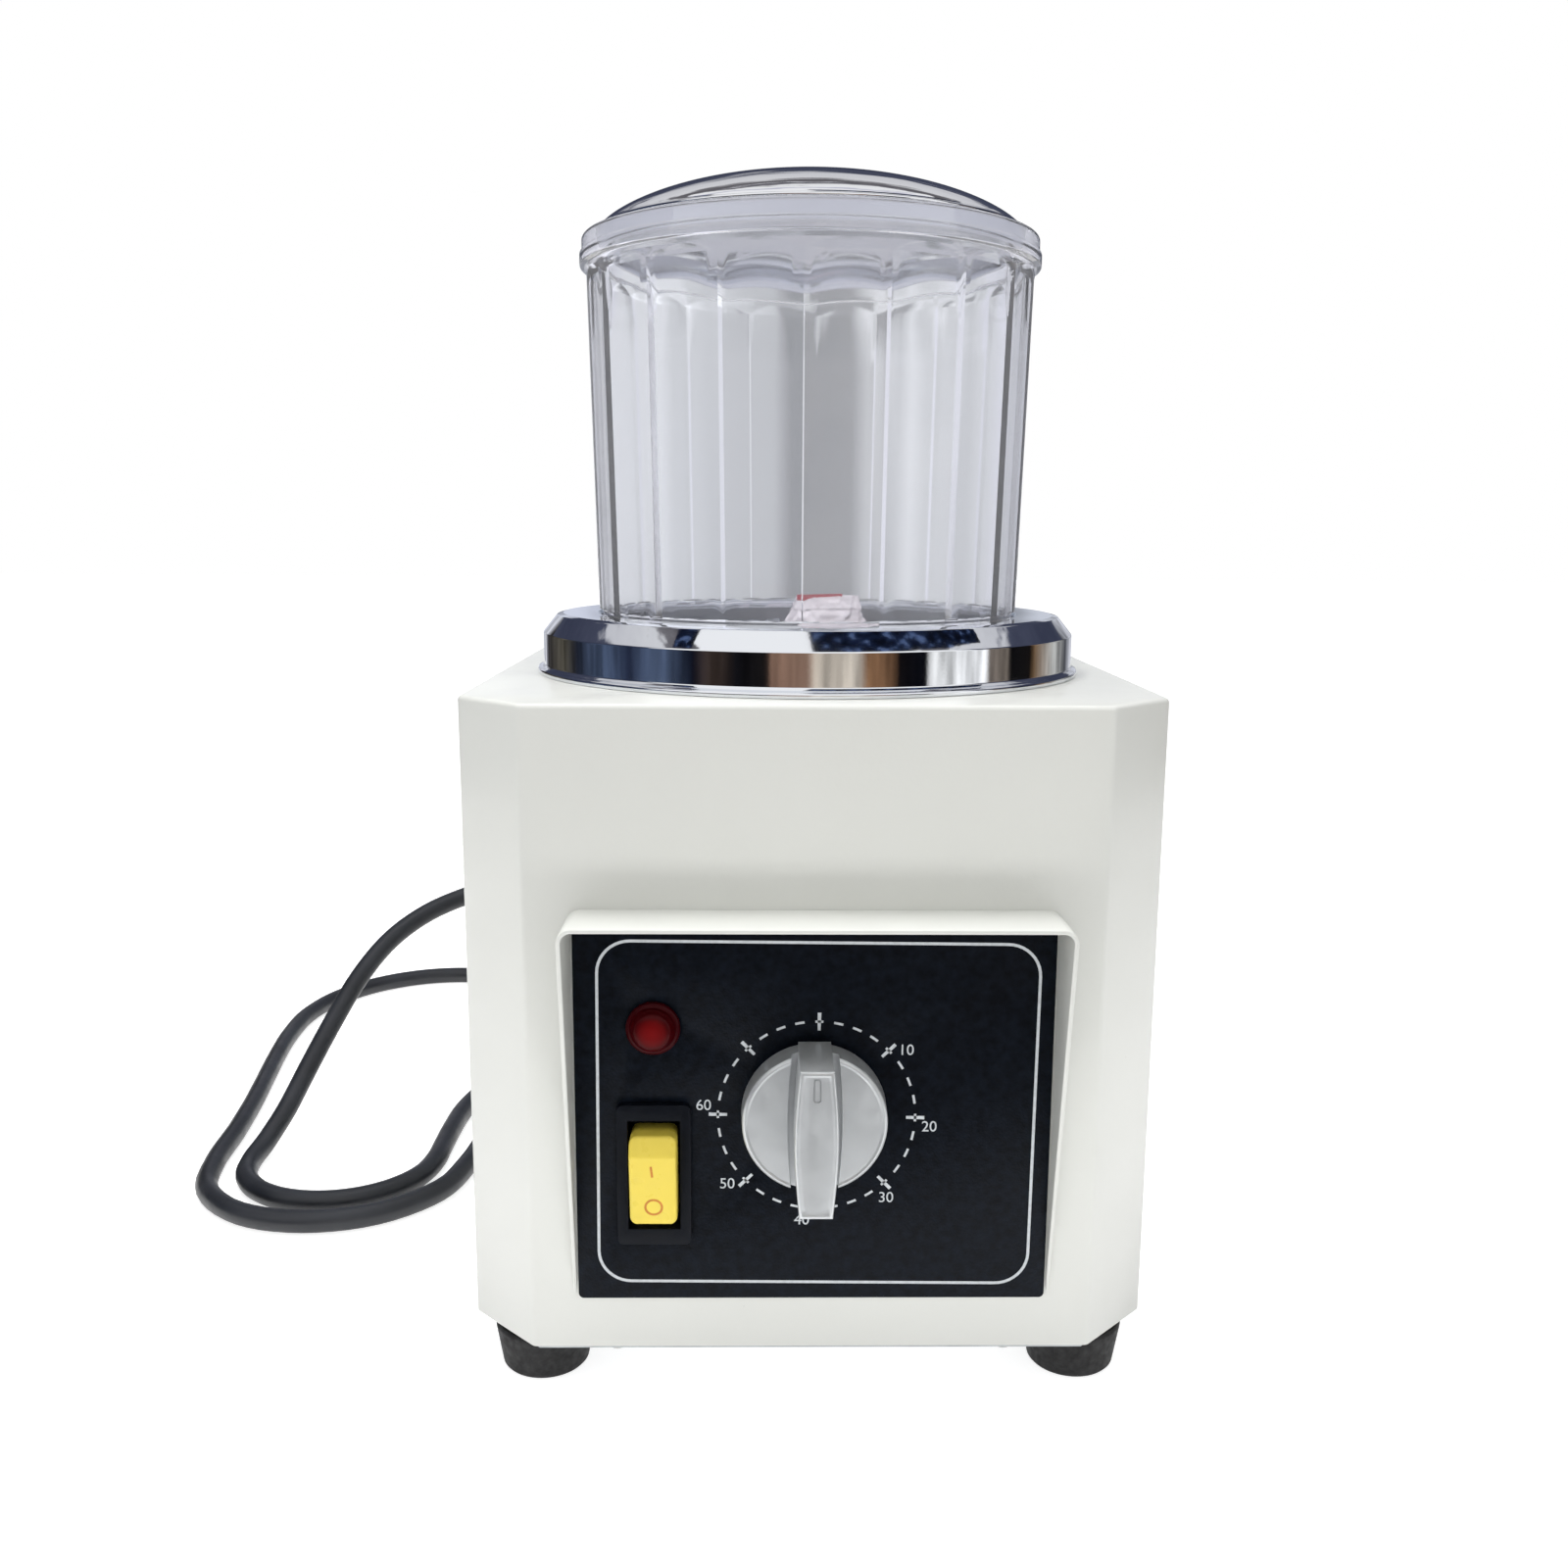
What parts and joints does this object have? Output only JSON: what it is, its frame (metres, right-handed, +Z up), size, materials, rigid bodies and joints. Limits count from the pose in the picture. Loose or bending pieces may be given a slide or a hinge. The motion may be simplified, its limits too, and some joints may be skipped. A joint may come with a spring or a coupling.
{
  "type": "magnetic tumbler",
  "caption": "Square steel tumbler with a spinning magnet disc under a clear lift-off bowl, a domed lid, a timer knob, a rocker switch and a mains cord.",
  "frame": {"origin": "on the table under the middle of the box round the casing, its knob and its strain relief, without the cord", "axes": "+Z up, the control panel faces -Y, +X to the right as seen from the front"},
  "size_m": [0.3385, 0.4069, 0.3466],
  "materials": {
    "enamel": "satin powder coat",
    "zinc_plate": "zinc plated",
    "screw_steel": "zinc plated",
    "foot_rubber": "matt",
    "ring_chrome": "mirror",
    "deck_black": "matt laminate",
    "bowl_clear": "clear moulded plastic, faintly lavender",
    "bag_film": "clear film over steel pins",
    "lid_chrome": "mirror",
    "seal_clear": "clear",
    "disc_aluminium": "turned",
    "magnet_nickel": "nickel plated",
    "black_steel": "blackened",
    "bright_steel": "ground",
    "core_steel": "varnished laminations",
    "black_plastic": "satin",
    "copper": "enamelled copper wire",
    "cast_alloy": "as cast",
    "cream_plastic": "satin",
    "wire_red": "insulation",
    "panel_black": "fine matt texture with a pale printed scale",
    "knob_silver": "satin silver plating",
    "paddle_yellow": "gloss",
    "brass_tab": "bright",
    "lens_red": "gloss",
    "cord_black": "satin"
  },
  "bodies": {
    "base": {"casing": "enamel", "hood": "enamel", "base_plate": "zinc_plate", "base_screws": "screw_steel", "foot_front_left": "foot_rubber", "foot_front_right": "foot_rubber", "foot_rear_left": "foot_rubber", "foot_rear_right": "foot_rubber", "foot_screws": "screw_steel", "chrome_ring": "ring_chrome", "ring_screws": "screw_steel", "deck_plate": "deck_black", "bearing_upper": "bright_steel", "bearing_lower": "bright_steel", "stator_core": "core_steel", "windings": "copper", "end_bell_upper": "cast_alloy", "end_bell_lower": "cast_alloy", "motor_bolts": "screw_steel", "motor_nuts": "screw_steel", "motor_bracket": "zinc_plate", "bracket_studs": "screw_steel", "bracket_spacers": "zinc_plate", "bracket_nuts": "screw_steel", "run_capacitor": "cream_plastic", "capacitor_clip": "zinc_plate", "terminal_block": "cream_plastic", "wiring": "wire_red", "control_panel": "panel_black", "timer_body": "cream_plastic", "timer_nut": "screw_steel", "rocker_housing": "black_plastic", "switch_tabs": "brass_tab", "lamp_lens": "lens_red", "lamp_body": "cream_plastic", "lamp_nut": "screw_steel", "strain_relief": "cord_black", "power_cord": "cord_black", "cord_coil": "cord_black", "cord_tie": "black_plastic", "plug_body": "cord_black", "plug_pins": "brass_tab"},
    "spindle": {"magnet_disc": "disc_aluminium", "magnets": "magnet_nickel", "disc_hub": "disc_aluminium", "disc_screws": "screw_steel", "hub_set_screw": "black_steel", "motor_shaft": "bright_steel", "rotor": "core_steel", "cooling_fan": "black_plastic"},
    "bowl_set": {"bowl": "bowl_clear", "pin_bag": "bag_film"},
    "lid_set": {"lid": "lid_chrome", "lid_seal": "seal_clear"},
    "knob": {"timer_knob": "knob_silver", "timer_stem": "bright_steel"},
    "paddle": {"rocker_paddle": "paddle_yellow"}
  },
  "joints": [
    {"name": "spindle_spin", "type": "hinge", "parent": "base", "child": "spindle", "pos_m": [0, -0.0045, 0.12], "axis": [0, 0, 1], "continuous": true},
    {"name": "bowl_lift", "type": "slide", "parent": "base", "child": "bowl_set", "axis": [0, 0, 1], "range_m": [0, 0.15]},
    {"name": "lid_lift", "type": "slide", "parent": "bowl_set", "child": "lid_set", "axis": [0, 0, 1], "range_m": [0, 0.06]},
    {"name": "knob_turn", "type": "hinge", "parent": "base", "child": "knob", "pos_m": [0, -0.103, 0.0863], "axis": [0, 1, 0], "range_deg": [-45, 270]},
    {"name": "rocker_toggle", "type": "hinge", "parent": "base", "child": "paddle", "pos_m": [-0.0435, -0.1015, 0.0678], "axis": [1, 0, 0], "range_deg": [0, 18]}
  ]
}
